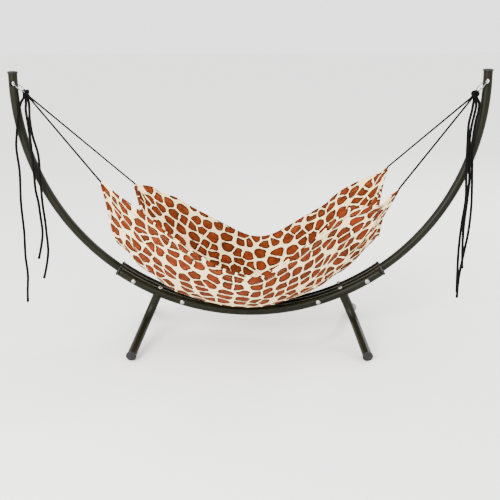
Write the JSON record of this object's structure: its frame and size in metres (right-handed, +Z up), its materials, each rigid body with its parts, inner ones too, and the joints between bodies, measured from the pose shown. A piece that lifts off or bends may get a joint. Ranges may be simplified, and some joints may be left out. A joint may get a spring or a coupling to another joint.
{
  "type": "cat hammock",
  "caption": "Cat hammock: a printed cloth sling hung on cords from wire rings inside a half-circle of bolted steel tube on splayed legs",
  "frame": {"origin": "on the floor, below the middle of the bounding box", "axes": "+X to the right along the sling, -Y to the front, +Z up"},
  "size_m": [0.9364, 0.3068, 0.5388],
  "materials": {
    "frame_tube": "dark olive-black satin powder coat",
    "end_plug": "black moulded tube plug with a low dome",
    "foot_plug": "black moulded tube plug, worn flat where it stands",
    "spacer": "black moulded spacer",
    "fastener": "bright zinc-plated steel",
    "ring_wire": "bright plated wire",
    "cord": "black braided cord",
    "hem_cloth": "folded hem of the printed cloth",
    "printed_cloth": "plain-weave cloth, cream with reddish-brown animal patches"
  },
  "bodies": {
    "stand": {"main_arc_left": "frame_tube", "left_tip_plug": "end_plug", "main_arc_right": "frame_tube", "right_tip_plug": "end_plug", "front_splice_arc": "frame_tube", "front_left_leg": "frame_tube", "front_left_splice_plug": "end_plug", "front_left_foot_plug": "foot_plug", "front_left_leg_bolt": "fastener", "front_right_leg": "frame_tube", "front_right_splice_plug": "end_plug", "front_right_foot_plug": "foot_plug", "front_right_leg_bolt": "fastener", "rear_splice_arc": "frame_tube", "rear_left_leg": "frame_tube", "rear_left_splice_plug": "end_plug", "rear_left_foot_plug": "foot_plug", "rear_left_leg_bolt": "fastener", "rear_right_leg": "frame_tube", "rear_right_splice_plug": "end_plug", "rear_right_foot_plug": "foot_plug", "rear_right_leg_bolt": "fastener", "left_inner_bolt": "fastener", "left_inner_nut": "fastener", "left_inner_front_spacer": "spacer", "left_inner_rear_spacer": "spacer", "left_outer_bolt": "fastener", "left_outer_nut": "fastener", "left_outer_front_spacer": "spacer", "left_outer_rear_spacer": "spacer", "right_inner_bolt": "fastener", "right_inner_nut": "fastener", "right_inner_front_spacer": "spacer", "right_inner_rear_spacer": "spacer", "right_outer_bolt": "fastener", "right_outer_nut": "fastener", "right_outer_front_spacer": "spacer", "right_outer_rear_spacer": "spacer"},
    "sling": {"sling_panel": "printed_cloth", "left_hem": "hem_cloth", "left_hem_cord": "cord", "left_front_line": "cord", "left_rear_line": "cord", "left_knot": "cord", "left_ring": "ring_wire", "right_hem": "hem_cloth", "right_hem_cord": "cord", "right_front_line": "cord", "right_rear_line": "cord", "right_knot": "cord", "right_ring": "ring_wire"},
    "left_tails": {"left_tail_1": "cord", "left_tail_2": "cord", "left_tail_3": "cord"},
    "right_tails": {"right_tail_1": "cord", "right_tail_2": "cord", "right_tail_3": "cord"}
  },
  "joints": [
    {"name": "sling_swing", "type": "hinge", "parent": "stand", "child": "sling", "pos_m": [0, 0, 0.5145], "axis": [1, 0, 0], "range_deg": [-12, 12]},
    {"name": "left_tails_hang", "type": "hinge", "parent": "sling", "child": "left_tails", "pos_m": [-0.435, 0, 0.4952], "axis": [1, 0, 0], "range_deg": [-12, 12]},
    {"name": "right_tails_hang", "type": "hinge", "parent": "sling", "child": "right_tails", "pos_m": [0.4359, 0, 0.49], "axis": [1, 0, 0], "range_deg": [-12, 12]}
  ],
  "couplings": [
    {"joint": "left_tails_hang", "follows": "sling_swing", "ratio": -1},
    {"joint": "right_tails_hang", "follows": "sling_swing", "ratio": -1}
  ]
}
